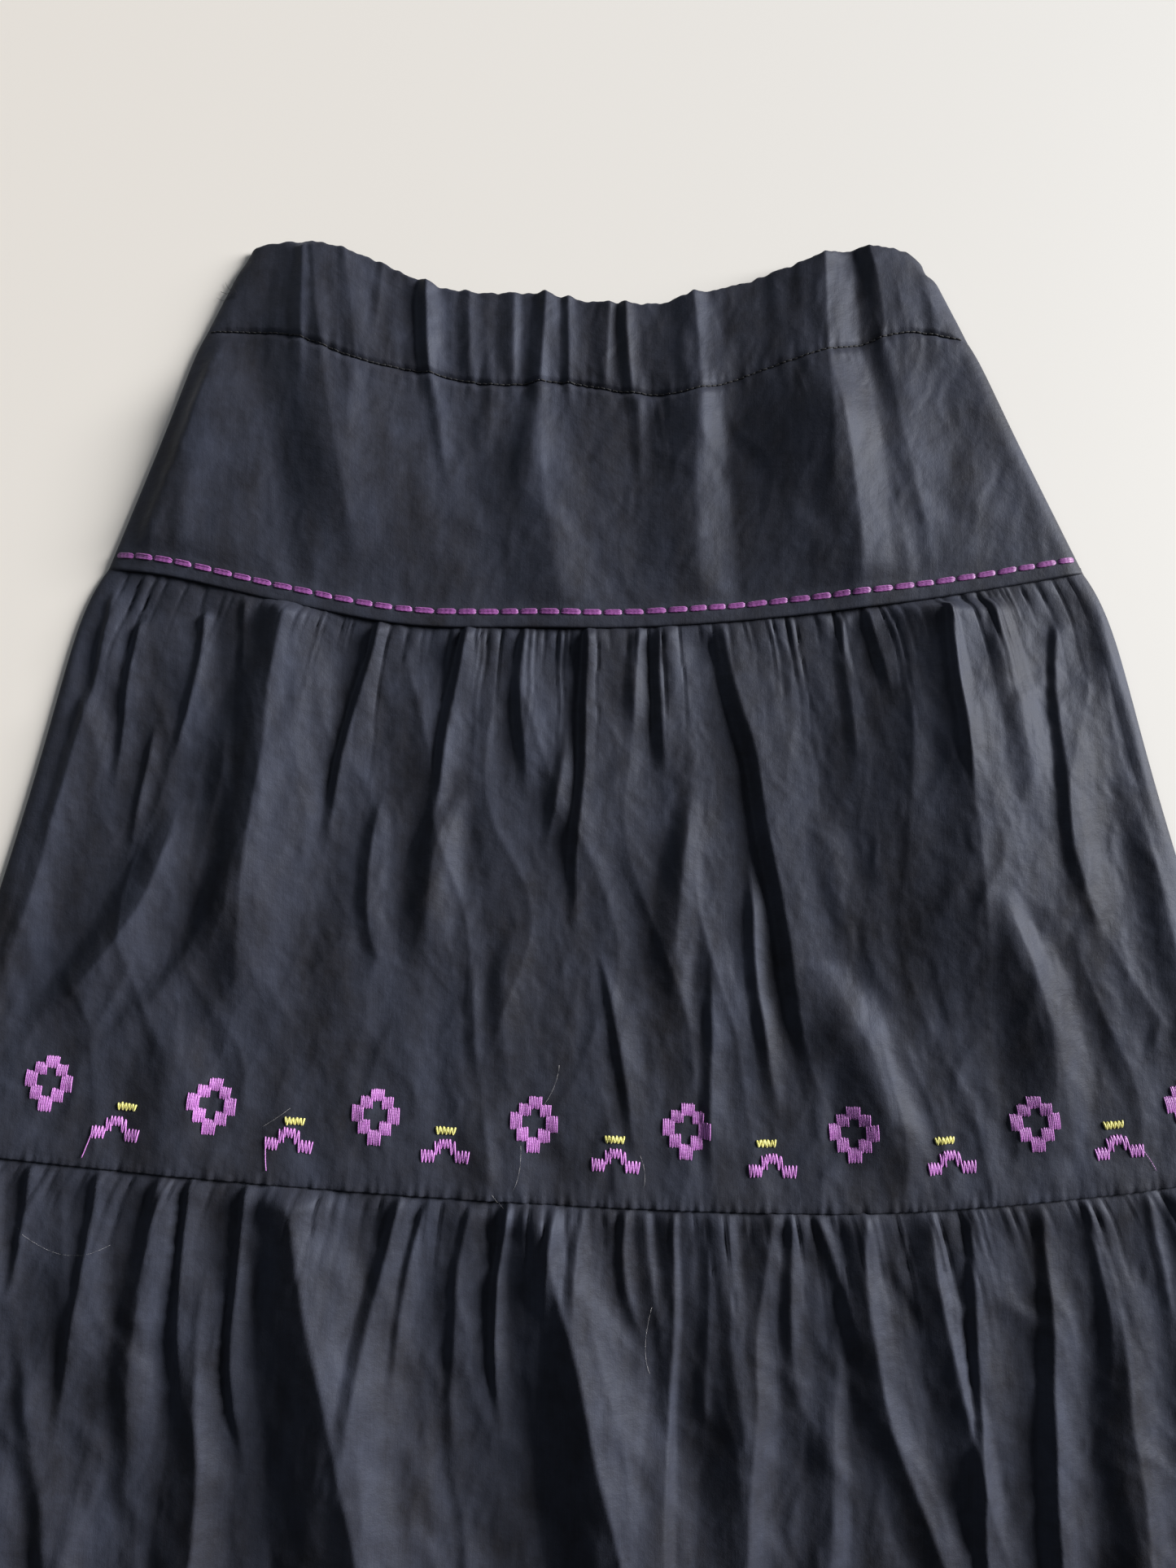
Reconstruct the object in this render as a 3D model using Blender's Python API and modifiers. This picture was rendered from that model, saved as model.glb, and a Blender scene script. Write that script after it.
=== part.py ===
"""Tiered embroidered skirt, laid flat with its front over its back.

The skirt is an elasticated casing, a fitted yoke and two gathered tiers. Each is cut as a front
and a back that meet at the side seams. +X is to the right of the laid skirt, +Y points from the
hem to the waist, +Z is up, and the back lies on the plane z = 0.
"""

import math
import random
from collections import namedtuple

import bmesh
import bpy
from mathutils import Matrix, Vector
from mathutils.bvhtree import BVHTree

MM = 0.001

# Walls and the clearances between them
CLOTH_WALL = 1.2 * MM
CASING_WALL = 2.4 * MM
SEAM_GAP = 0.3 * MM
LAYER_GAP = 0.3 * MM

# The turned edge where the front wall comes down to the back at a side seam
TURN_WIDTH = 5 * MM
TURN_STEPS = (0, 0.4 * MM, 1.5 * MM, 3 * MM)
SHOULDER_DROP = 0.22

# The pressed band along the yoke's lower edge, over the seam allowance
WELT_WIDTH = 7 * MM
WELT_RISE = 0.7 * MM

# The back hem hangs a little lower than the front one
BACK_HEM_DROP = 3 * MM

# Each seam in plan, in millimetres: its lowest point, and where it meets the side seams.
# squareness is 0 for an even curve and 1 for a dip between two level corners.
Seam = namedtuple("Seam", "low_x low_y left_x left_y right_x right_y squareness")
WAIST_EDGE = Seam(-2, 342, -165, 374, 160, 368, 1)
CASING_STITCH = Seam(-2, 297, -185, 329, 180, 323, 1)
YOKE_SEAM = Seam(4, 184.5, -225, 211, 228, 211, 0)
TIER_SEAM = Seam(105, -73.5, -295, -46, 296, -56, 0)
HEM = Seam(40, -371, -388, -322, 388, -330, 0)
CURVE_POWER = 1.65

# A front panel: the seams it runs between, its wall, how far its sides swell below the top seam,
# and the height of its outer face at the top, in the middle and at the bottom, in millimetres.
Panel = namedtuple("Panel", "name top bottom wall swell top_z middle_z bottom_z")
CASING = Panel("casing", WAIST_EDGE, CASING_STITCH, CASING_WALL, 0, 6.6, 7.0, 6.6)
YOKE = Panel("yoke", CASING_STITCH, YOKE_SEAM, CLOTH_WALL, 1, 6.2, 6.6, 6.4)
MIDDLE_TIER = Panel("middle_tier", YOKE_SEAM, TIER_SEAM, CLOTH_WALL, 5, 5.2, 5.4, 6.4)
BOTTOM_TIER = Panel("bottom_tier", TIER_SEAM, HEM, CLOTH_WALL, 6, 5.2, 5.4, 5.2)

# Gathers along a panel's top edge: their number, their depth and the least and most that they
# run down the cloth, in millimetres.
Gathers = namedtuple("Gathers", "count depth shortest longest seed")
ELASTIC_GATHERS = Gathers(18, 1.1, 14, 40, 4)
YOKE_SEAM_GATHERS = Gathers(40, 1.5, 9, 40, 7)
TIER_SEAM_GATHERS = Gathers(48, 1.6, 9, 46, 11)
SAMPLES_PER_GATHER = 4
EVENNESS_OF_PITCH = 0.3
LEAST_DEPTH_SHARE = 0.45

# A fold, in millimetres: the crest's x at its top, middle and foot, the y of its top and foot,
# its half width and height. lean steepens its left side below 0 and its right side above 0.
Fold = namedtuple("Fold", "top_x top_y middle_x foot_x foot_y half_width height lean")
YOKE_FOLDS = (
    Fold(-140, 335, -158, -172, 200, 22, 1.6, -0.2),
    Fold(-92, 320, -98, -104, 180, 26, 2.4, 0.2),
    Fold(-20, 300, -16, -10, 170, 24, 2.2, -0.3),
    Fold(22, 300, 16, 18, 180, 14, 1.4, 0.4),
    Fold(70, 310, 74, 80, 180, 12, 1.0, 0.2),
    Fold(118, 330, 128, 148, 190, 14, 2.4, -0.5),
    Fold(158, 335, 176, 192, 200, 16, 1.8, 0.2),
)
MIDDLE_TIER_FOLDS = (
    Fold(-177, 199, -197, -224, 80, 17, 4.5, -0.2),
    Fold(-121, 191, -139, -166, 5, 28, 7.0, -0.3),
    Fold(-90, 188, -103, -108, 92, 14, 3.0, 0),
    Fold(-51, 186, -59, -62, 60, 17, 4.5, -0.2),
    Fold(4, 185, 4, 2, 10, 22, 6.0, -0.25),
    Fold(49, 185, 63, 76, 5, 22, 7.0, 0.25),
    Fold(96, 186, 98, 106, 5, 20, 5.0, -0.1),
    Fold(168, 199, 172, 182, 10, 23, 7.0, -0.3),
    Fold(204, 206, 217, 236, 50, 17, 4.0, 0),
    Fold(-150, 95, -185, -236, -5, 18, 4.5, -0.1),
)
BOTTOM_TIER_FOLDS = (
    Fold(-258, -50, -290, -346, -450, 19, 6.0, -0.2),
    Fold(-222, -54, -248, -296, -450, 20, 6.5, -0.3),
    Fold(-182, -59, -205, -242, -450, 19, 6.5, -0.3),
    Fold(-141, -63, -160, -182, -430, 19, 6.5, -0.2),
    Fold(-79, -67, -94, -112, -460, 27, 9.0, -0.35),
    Fold(-42, -69, -50, -58, -440, 18, 5.5, 0.2),
    Fold(-16, -71, -14, -10, -450, 18, 6.5, -0.3),
    Fold(8, -72, 26, 44, -460, 22, 8.5, 0.3),
    Fold(62, -73, 70, 88, -440, 20, 7.5, 0.3),
    Fold(110, -73, 122, 142, -450, 19, 6.5, -0.2),
    Fold(152, -73, 168, 194, -460, 21, 8.0, 0.3),
    Fold(192, -70, 208, 240, -450, 20, 7.0, -0.3),
    Fold(230, -64, 250, 290, -450, 19, 6.5, 0.2),
    Fold(264, -59, 291, 340, -450, 19, 6.0, 0.2),
)
LEAST_FRONT_Z = 3.1 * MM

# Sections down a panel, as distances from its top seam in millimetres. The first few sample
# every gather four times, and the others, below them, twice.
FINE_SECTIONS = (0, 9, 22)
MIDDLE_TIER_SECTIONS = (48, 80, 115, 150, 185, 215, 255)
BOTTOM_TIER_SECTIONS = (50, 90, 135, 180, 225, 265, 300)
YOKE_SECTIONS = (40, 62, 84)

# The back panels' grid: the share of the length at each row, and the columns across
BACK_ROWS = (0, 0.06, 0.12, 0.25, 0.5, 1)
BACK_COLUMNS = 24

# Embroidery: charts of stitched blocks, seen from above, and the size of one square in them
FLOWER_CHART = (
    "...XX...",
    ".XXXXXX.",
    ".XX..XX.",
    "XX....XX",
    "XX....XX",
    ".XX..XX.",
    ".XXXXXX.",
    "...XX...",
)
CHEVRON_CHART = (
    "..XXXX..",
    "..XXXX..",
    "XXX..XXX",
    "XX....XX",
)

# The motifs in a row above the lower seam of the middle tier: their height over it and the x of
# each, in millimetres
Motif = namedtuple("Motif", "name chart square_x square_y rise places")
FLOWER_PLACES = (-235.5, -165, -94, -25.5, 40.5, 113.5, 189.5, 258)
CHEVRON_PLACES = (-271, -206, -131, -65, 9.5, 77.5, 153.5, 226.5)
FLOWERS = Motif("flower", FLOWER_CHART, 2.65, 3.1, 32.7, FLOWER_PLACES)
CHEVRONS = Motif("chevron", CHEVRON_CHART, 2.75, 2.7, 18.7, CHEVRON_PLACES)
STITCH_LIFT = 0.3 * MM
STITCH_DEPTH = 0.8 * MM

# Colour, roughness and metallic value of each material
CLOTH_FINISH = ((0.014, 0.015, 0.021, 1), 0.5, 0)
VIOLET_FINISH = ((0.42, 0.14, 0.47, 1), 0.4, 0)


def smooth(share):
    """0 below 0, 1 above 1 and an eased rise between them."""
    share = min(max(share, 0), 1)
    return share * share * (3 - 2 * share)


def mix(start, end, share):
    return start + (end - start) * share


def seam_point(seam, u):
    """(x, y) of a seam, with u from -1 at the left side seam to 1 at the right one."""
    low_u = 2 * (seam.low_x - seam.left_x) / (seam.right_x - seam.left_x) - 1
    side_u, side_y = (-1, seam.left_y) if u < low_u else (1, seam.right_y)
    run = (u - low_u) / (side_u - low_u)
    level_cornered = smooth(run / 0.9) ** 1.3
    rise = mix(run**CURVE_POWER, level_cornered, seam.squareness)
    x = mix(seam.left_x, seam.right_x, (u + 1) / 2)
    return x * MM, mix(seam.low_y, side_y, rise) * MM


def side_swell(panel, v):
    """How far gathered cloth stands out past a straight side, most just below its top seam."""
    return panel.swell * MM * (v / 0.12) * math.exp(1 - v / 0.12)


def panel_point(panel, u, v):
    """(x, y) on a panel, with v from 0 at its top seam to 1 at its lower one."""
    top_x, top_y = seam_point(panel.top, u)
    bottom_x, bottom_y = seam_point(panel.bottom, u)
    x = mix(top_x, bottom_x, v) + u * side_swell(panel, v)
    trim = mix(-SEAM_GAP / 2, SEAM_GAP / 2, v)
    return x, mix(top_y, bottom_y, v) + trim


def panel_length(panel):
    return (panel.top.low_y - panel.bottom.low_y) * MM


def fold_height(folds, x, y):
    """Height that the folds add at a point of the cloth."""
    height = 0
    for fold in folds:
        t = (fold.top_y * MM - y) / ((fold.top_y - fold.foot_y) * MM)
        if not 0 <= t <= 1:
            continue
        crest = (
            fold.top_x * (1 - t) * (1 - 2 * t)
            + fold.middle_x * 4 * t * (1 - t)
            + fold.foot_x * t * (2 * t - 1)
        )
        half_width = fold.half_width * mix(0.55, 1, smooth(t / 0.4)) * MM
        away = x - crest * MM
        steep = 1 - abs(fold.lean) if away * fold.lean > 0 else 1
        across = min(abs(away) / (half_width * steep), 1)
        along = mix(0.15, 1, smooth(t / 0.22)) * smooth((1 - t) / 0.35)
        height += fold.height * MM * along * (1 + math.cos(math.pi * across)) / 2
    return height


def gather_columns(gathers):
    """Each column across a gathered panel as (share of the width, gather's wave, its length)."""
    chance = random.Random(gathers.seed)
    pitches = [1 + EVENNESS_OF_PITCH * chance.uniform(-1, 1) for _ in range(gathers.count)]
    depths = [gathers.depth * chance.uniform(LEAST_DEPTH_SHARE, 1) for _ in range(gathers.count)]
    lengths = [chance.uniform(gathers.shortest, gathers.longest) for _ in range(gathers.count)]
    total = sum(pitches)
    columns = []
    start = 0
    for pitch, depth, length in zip(pitches, depths, lengths):
        for sample in range(SAMPLES_PER_GATHER):
            turn = sample / SAMPLES_PER_GATHER
            wave = -math.cos(2 * math.pi * turn) * depth
            columns.append(((start + pitch * turn) / total, wave * MM, length * MM))
        start += pitch
    columns.append((1, -depths[-1] * MM, lengths[-1] * MM))
    return columns


def front_section(panel, columns, folds, distance, stride):
    """The outer face of a front panel across the cloth, at a distance below its top seam."""
    v = min(distance * MM / panel_length(panel), 1)
    left = panel_point(panel, -1, v)[0]
    right = panel_point(panel, 1, v)[0]
    width = right - left
    crown = mix(
        mix(panel.top_z, panel.middle_z, smooth(v / 0.3)),
        panel.bottom_z,
        smooth((v - 0.75) / 0.25),
    )
    side_z = panel.wall + LAYER_GAP
    turn = [(step, 0, CLOTH_WALL) for step in TURN_STEPS]
    gathered = [
        (TURN_WIDTH + share * (width - 2 * TURN_WIDTH), wave, length)
        for share, wave, length in columns
    ]
    across = turn + gathered + [(width - step, 0, CLOTH_WALL) for step in reversed(TURN_STEPS)]
    points = []
    for from_left, wave, length in across[::stride]:
        u = -1 + 2 * from_left / width
        x, y = panel_point(panel, u, v)
        inset = min(from_left, width - from_left)
        turned = math.sqrt(1 - (1 - min(inset / TURN_WIDTH, 1)) ** 2)
        shoulder = 1 - SHOULDER_DROP * abs(u) ** 6
        z = side_z + (crown * MM - side_z) * turned * shoulder
        run_down = 0 if panel is CASING else distance * MM
        ripple = wave * math.exp(-((run_down / length) ** 1.2))
        if panel is CASING or panel is YOKE:
            ripple *= 1 - 0.7 * abs(u) ** 3
        free = smooth((inset - TURN_WIDTH) / (12 * MM))
        z += free * (ripple + fold_height(folds, x, y))
        if inset >= TURN_WIDTH:
            z = max(z, LEAST_FRONT_Z)
        if panel is YOKE and distance * MM > panel_length(panel) - WELT_WIDTH:
            z += WELT_RISE * turned
        points.append(Vector((x, y, z)))
    return points


def inner_face(section, wall):
    """A section moved in by the wall along its own normals, so that seams stay square."""
    inner = []
    last = len(section) - 1
    for i, point in enumerate(section):
        if i in (0, last):
            inner.append(point + Vector((wall if i == 0 else -wall, 0, 0)))
            continue
        along = section[i + 1] - section[i - 1]
        inward = Vector((along.z, 0, -along.x)).normalized()
        inner.append(point + inward * wall)
    return inner


def strip(bm, upper, lower):
    """Triangles between two rows of vertices. The lower row may have every second column."""
    if len(upper) == len(lower):
        for i in range(len(upper) - 1):
            bm.faces.new((upper[i], upper[i + 1], lower[i]))
            bm.faces.new((upper[i + 1], lower[i + 1], lower[i]))
        return
    for i in range(len(lower) - 1):
        left, middle, right = upper[2 * i : 2 * i + 3]
        bm.faces.new((left, middle, lower[i]))
        bm.faces.new((middle, lower[i + 1], lower[i]))
        bm.faces.new((middle, right, lower[i + 1]))


def wall_object(name, outer_sections, inner_sections, material, parent):
    """One closed wall lofted through its outer and inner sections, and rimmed at its edges."""
    bm = bmesh.new()
    outer = [[bm.verts.new(point) for point in section] for section in outer_sections]
    inner = [[bm.verts.new(point) for point in section] for section in inner_sections]
    for face in (outer, inner):
        for upper, lower in zip(face, face[1:]):
            strip(bm, upper, lower)
    strip(bm, outer[0], inner[0])
    strip(bm, outer[-1], inner[-1])
    for side in (0, -1):
        strip(bm, [row[side] for row in outer], [row[side] for row in inner])
    bmesh.ops.recalc_face_normals(bm, faces=bm.faces[:])
    return finished_object(name, bm, material, parent)


def finished_object(name, bm, material, parent):
    mesh = bpy.data.meshes.new(name)
    bm.to_mesh(mesh)
    bm.free()
    mesh.materials.append(material)
    mesh.shade_smooth()
    mesh.set_sharp_from_angle(angle=math.radians(50))
    made = bpy.data.objects.new(name, mesh)
    made.parent = parent
    bpy.data.collections["embroidered_skirt"].objects.link(made)
    return made


def front_panel(panel, gathers, folds, fine, coarse, material, parent):
    """A front panel over the back: gathered at its top, folded below, turned down at its sides."""
    columns = gather_columns(gathers)
    outer = [front_section(panel, columns, folds, distance, 1) for distance in fine]
    outer += [front_section(panel, columns, folds, distance, 2) for distance in coarse]
    inner = [inner_face(section, panel.wall) for section in outer]
    return wall_object(panel.name + "_front", outer, inner, material, parent)


def thicken_upward(sheet, thickness, side):
    """Turn an open sheet into a wall. side is 1 where its faces look up and -1 where down."""
    solid = sheet.modifiers.new("thickness", "SOLIDIFY")
    solid.thickness = thickness
    solid.offset = side


def back_panel(panel, hem_drop, material, parent):
    """A back panel, pressed flat on the surface by the front that lies on it."""
    bm = bmesh.new()
    rows = []
    for v in BACK_ROWS:
        row = []
        for i in range(BACK_COLUMNS + 1):
            x, y = panel_point(panel, -1 + 2 * i / BACK_COLUMNS, v)
            row.append(bm.verts.new((x, y - hem_drop * (v == 1), 0)))
        rows.append(row)
    for upper, lower in zip(rows, rows[1:]):
        strip(bm, upper, lower)
    made = finished_object(panel.name + "_back", bm, material, parent)
    thicken_upward(made, panel.wall, -1)


def place_on_seam(seam, x, rise):
    """The point at a distance above a seam, and the angle at which the seam runs there."""
    half = (seam.right_x - seam.left_x) / 2 * MM
    u = (x - seam.left_x * MM) / half - 1
    step = 0.02
    here = seam_point(seam, u)[1]
    slope = (seam_point(seam, u + step)[1] - here) / (step * half)
    return Vector((x, here + rise, 0)), math.atan(slope)


def motif_object(motif, number, cloth, material, parent):
    """One embroidered motif: its stitched squares, laid on the cloth and following it."""
    centre, angle = place_on_seam(TIER_SEAM, motif.places[number] * MM, motif.rise * MM)
    to_cloth = Matrix.Translation(centre) @ Matrix.Rotation(angle, 4, "Z")
    rows = len(motif.chart)
    columns = len(motif.chart[0])
    bm = bmesh.new()
    corners = {}

    def corner(row, column):
        if (row, column) not in corners:
            x = (column - columns / 2) * motif.square_x * MM
            y = (rows / 2 - row) * motif.square_y * MM
            above = to_cloth @ Vector((x, y, 1))
            hit = cloth.ray_cast(above, Vector((0, 0, -1)))[0]
            corners[row, column] = bm.verts.new((x, y, hit.z + STITCH_LIFT))
        return corners[row, column]

    for row in range(rows):
        for column in range(columns):
            if motif.chart[row][column] == "X":
                bm.faces.new((
                    corner(row, column),
                    corner(row + 1, column),
                    corner(row + 1, column + 1),
                    corner(row, column + 1),
                ))
    made = finished_object(f"{motif.name}_{number + 1}", bm, material, parent)
    thicken_upward(made, STITCH_DEPTH, 1)
    made.matrix_local = to_cloth


def finish(name, values):
    colour, roughness, metallic = values
    material = bpy.data.materials.new(name)
    material.use_nodes = True
    shader = material.node_tree.nodes["Principled BSDF"]
    shader.inputs["Base Color"].default_value = colour
    shader.inputs["Roughness"].default_value = roughness
    shader.inputs["Metallic"].default_value = metallic
    return material


def build_skirt():
    for left_over in list(bpy.data.objects):
        bpy.data.objects.remove(left_over)
    collection = bpy.data.collections.new("embroidered_skirt")
    bpy.context.scene.collection.children.link(collection)
    skirt = bpy.data.objects.new("skirt", None)
    collection.objects.link(skirt)
    cloth = finish("navy_cloth", CLOTH_FINISH)
    violet = finish("violet_thread", VIOLET_FINISH)

    yoke_length = panel_length(YOKE) / MM
    welt_top = yoke_length - WELT_WIDTH / MM
    yoke_end = (welt_top, welt_top + 0.7, yoke_length)
    front_panel(CASING, ELASTIC_GATHERS, (), (0, 22, 45), (), cloth, skirt)
    front_panel(YOKE, ELASTIC_GATHERS, YOKE_FOLDS, (0, 10), YOKE_SECTIONS + yoke_end, cloth, skirt)
    middle_front = front_panel(
        MIDDLE_TIER, YOKE_SEAM_GATHERS, MIDDLE_TIER_FOLDS,
        FINE_SECTIONS, MIDDLE_TIER_SECTIONS, cloth, skirt,
    )
    front_panel(
        BOTTOM_TIER, TIER_SEAM_GATHERS, BOTTOM_TIER_FOLDS,
        FINE_SECTIONS, BOTTOM_TIER_SECTIONS, cloth, skirt,
    )

    for panel in (CASING, YOKE, MIDDLE_TIER):
        back_panel(panel, 0, cloth, skirt)
    back_panel(BOTTOM_TIER, BACK_HEM_DROP, cloth, skirt)

    bpy.context.view_layer.update()
    cloth_tree = BVHTree.FromObject(middle_front, bpy.context.evaluated_depsgraph_get())
    for motif in (FLOWERS, CHEVRONS):
        for number in range(len(motif.places)):
            motif_object(motif, number, cloth_tree, violet, skirt)


build_skirt()
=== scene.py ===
"""How the embroidered skirt looks: fine cloth, stitching and embroidery over its solids."""

import math
import random
from collections import namedtuple

import bpy
import numpy as np
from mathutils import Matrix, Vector
from mathutils.bvhtree import BVHTree


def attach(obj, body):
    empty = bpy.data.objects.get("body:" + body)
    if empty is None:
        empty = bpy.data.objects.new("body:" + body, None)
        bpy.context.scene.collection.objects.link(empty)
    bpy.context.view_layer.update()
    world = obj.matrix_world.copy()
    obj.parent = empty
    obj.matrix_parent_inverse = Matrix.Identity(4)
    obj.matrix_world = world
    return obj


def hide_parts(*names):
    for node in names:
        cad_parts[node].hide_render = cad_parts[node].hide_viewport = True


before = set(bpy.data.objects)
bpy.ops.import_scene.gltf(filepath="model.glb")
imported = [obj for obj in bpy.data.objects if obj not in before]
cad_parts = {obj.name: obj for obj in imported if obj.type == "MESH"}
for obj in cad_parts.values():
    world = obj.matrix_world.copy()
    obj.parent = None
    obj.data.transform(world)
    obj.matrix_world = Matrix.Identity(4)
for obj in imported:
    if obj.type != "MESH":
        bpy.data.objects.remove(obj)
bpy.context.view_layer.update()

# Back panels
# The skirt's back lies under its front, pressed flat on the table. It is the same four panels in
# a light, closely woven navy cotton with a soft polish, seamed to the front at both sides.

MM = 0.001
Seam = namedtuple("Seam", "low_x low_y left_x left_y right_x right_y squareness bends")
WAIST_BENDS = ((-77, -3.5, 22), (-24, 4.5, 24), (32, -1.5, 12), (128, 3, 18))
STITCH_BENDS = ((-112, -5.7, 28), (-16, 5.5, 24), (45, -3.3, 22), (150, 4, 22))
YOKE_BENDS = ((-198, 3.5, 40), (-85, -4, 45))
WAIST_EDGE = Seam(-2, 342, -165, 374, 160, 368, 1, WAIST_BENDS)
CASING_STITCH = Seam(-2, 297, -185, 329, 180, 323, 1, STITCH_BENDS)
YOKE_SEAM = Seam(4, 184.5, -225, 211, 228, 211, 0, YOKE_BENDS)
TIER_SEAM = Seam(105, -73.5, -295, -46, 296, -56, 0, ())
HEM = Seam(40, -371, -388, -322, 388, -330, 0, ())
Panel = namedtuple("Panel", "top bottom swell top_z middle_z bottom_z")
CASING = Panel(WAIST_EDGE, CASING_STITCH, 0, 6.4, 7.0, 6.4)
YOKE = Panel(CASING_STITCH, YOKE_SEAM, 1, 6.4, 6.6, 6.4)
MIDDLE_TIER = Panel(YOKE_SEAM, TIER_SEAM, 5, 5.2, 5.4, 6.4)
BOTTOM_TIER = Panel(TIER_SEAM, HEM, 6, 5.2, 5.4, 5.2)


def smooth(share):
    share = np.clip(share, 0, 1)
    return share * share * (3 - 2 * share)


def mix(start, end, share):
    return start + (end - start) * share


def seam_points(seam, u):
    """x and y along a seam in millimetres, u from -1 at the left side to 1 at the right.

    Each of its bends is a place along x, how far the seam strays there, and over what width.
    """
    low_u = 2 * (seam.low_x - seam.left_x) / (seam.right_x - seam.left_x) - 1
    left = u < low_u
    run = np.abs(u - low_u) / np.where(left, low_u + 1, 1 - low_u)
    side_y = np.where(left, seam.left_y, seam.right_y)
    rise = mix(run**1.65, smooth(run / 0.9) ** 1.3, seam.squareness)
    x = mix(seam.left_x, seam.right_x, (u + 1) / 2)
    y = mix(seam.low_y, side_y, rise)
    for place, stray, width in seam.bends:
        y = y + stray * np.exp(-(((x - place) / width) ** 2))
    return x, y


def panel_points(panel, u, v):
    """x and y on a panel, v from 0 at its top seam to 1 at its lower one."""
    top_x, top_y = seam_points(panel.top, u)
    foot_x, foot_y = seam_points(panel.bottom, u)
    below = np.maximum(v, 0)
    swell = panel.swell * below / 0.12 * np.exp(1 - below / 0.12)
    return mix(top_x, foot_x, v) + u * swell, mix(top_y, foot_y, v)


NOISE_CELLS = 256


def noise(x, y, seed):
    """Smooth noise from about -1 to 1 over a plane, with cells one unit wide."""
    angles = np.random.default_rng(seed).uniform(0, 2 * np.pi, (NOISE_CELLS, NOISE_CELLS))
    column = np.floor(x).astype(int)
    row = np.floor(y).astype(int)

    def corner(i, j):
        angle = angles[(row + j) % NOISE_CELLS, (column + i) % NOISE_CELLS]
        return np.cos(angle) * (x - column - i) + np.sin(angle) * (y - row - j)

    across = smooth(x - column)
    top = mix(corner(0, 0), corner(1, 0), across)
    foot = mix(corner(0, 1), corner(1, 1), across)
    return 1.5 * mix(top, foot, smooth(y - row))


Ripple = namedtuple("Ripple", "height across along seed")


def ripples(kind, x, y):
    """Gentle unevenness of the height, width and length in millimetres that their kind gives."""
    return kind.height * noise(x / kind.across, y / kind.along, kind.seed)


Gathers = namedtuple("Gathers", "count depth shortest longest seed")
GATHER_PITCHES = (0.35, 1.75)
GATHER_DEPTHS = (0.1, 1.1)


def gather_wave(gathers, share, below):
    """Height of uneven gathers at a share of the seam's length and a distance below the seam."""
    chance = np.random.default_rng(gathers.seed)
    pitches = chance.uniform(*GATHER_PITCHES, gathers.count)
    depths = gathers.depth * chance.uniform(*GATHER_DEPTHS, gathers.count)
    reach = chance.uniform(0, 1, gathers.count) ** 2
    lengths = mix(gathers.shortest, gathers.longest, reach)
    ends = np.cumsum(pitches) / pitches.sum()
    wander = 0.25 / gathers.count * noise(share * gathers.count / 3, below / 25, gathers.seed)
    share = np.clip(share + wander * smooth(below / 15), 0, 1)
    which = np.clip(np.searchsorted(ends, share), 0, gathers.count - 1)
    starts = np.concatenate([[0], ends[:-1]])
    turn = (share - starts[which]) / (ends[which] - starts[which])
    pillow = np.abs(np.sin(np.pi * turn**0.8)) ** 0.5 - 0.72
    return depths[which] * pillow * np.exp(-((np.maximum(below, 0) / lengths[which]) ** 1.3))


def cloth_object(name, x, y, z, across, down):
    """A sheet of cloth from a grid of points in millimetres, with its cut as a UV map."""
    rows, columns = x.shape
    index = np.arange(rows * columns).reshape(rows, columns)
    quads = np.stack([index[1:, :-1], index[1:, 1:], index[:-1, 1:], index[:-1, :-1]], -1)
    quads = quads.reshape(-1, 4)
    points = np.stack([x, y, z], -1).reshape(-1, 3) * MM
    mesh = bpy.data.meshes.new(name)
    mesh.from_pydata(points, [], quads)
    mesh.shade_smooth()
    cut = np.stack([across, down], -1).reshape(-1, 2) * MM
    mesh.uv_layers.new(name="cut").data.foreach_set("uv", cut[quads.ravel()].ravel())
    made = bpy.data.objects.new(name, mesh)
    bpy.context.scene.collection.objects.link(made)
    return made


def add_group(name, inputs, outputs):
    """An empty node group with named inputs, as (name, type, default), and named outputs."""
    group = bpy.data.node_groups.new(name, "ShaderNodeTree")
    for label, kind, default in inputs:
        socket = group.interface.new_socket(label, in_out="INPUT", socket_type=kind)
        if default is not None:
            socket.default_value = default
    for label, kind in outputs:
        group.interface.new_socket(label, in_out="OUTPUT", socket_type=kind)
    return group, group.nodes.new("NodeGroupInput"), group.nodes.new("NodeGroupOutput")


def node(tree, kind, values=(), **settings):
    made = tree.nodes.new(kind)
    for key, value in settings.items():
        setattr(made, key, value)
    for key, value in dict(values).items():
        made.inputs[key].default_value = value
    return made


DEEP_NAVY = (0.0175, 0.0170, 0.0205, 1)
PAINTED_SHEEN_NAVY = (0.0370, 0.0415, 0.0610, 1)
COOL_GLOSS = (0.72, 0.8, 1, 1)


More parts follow.
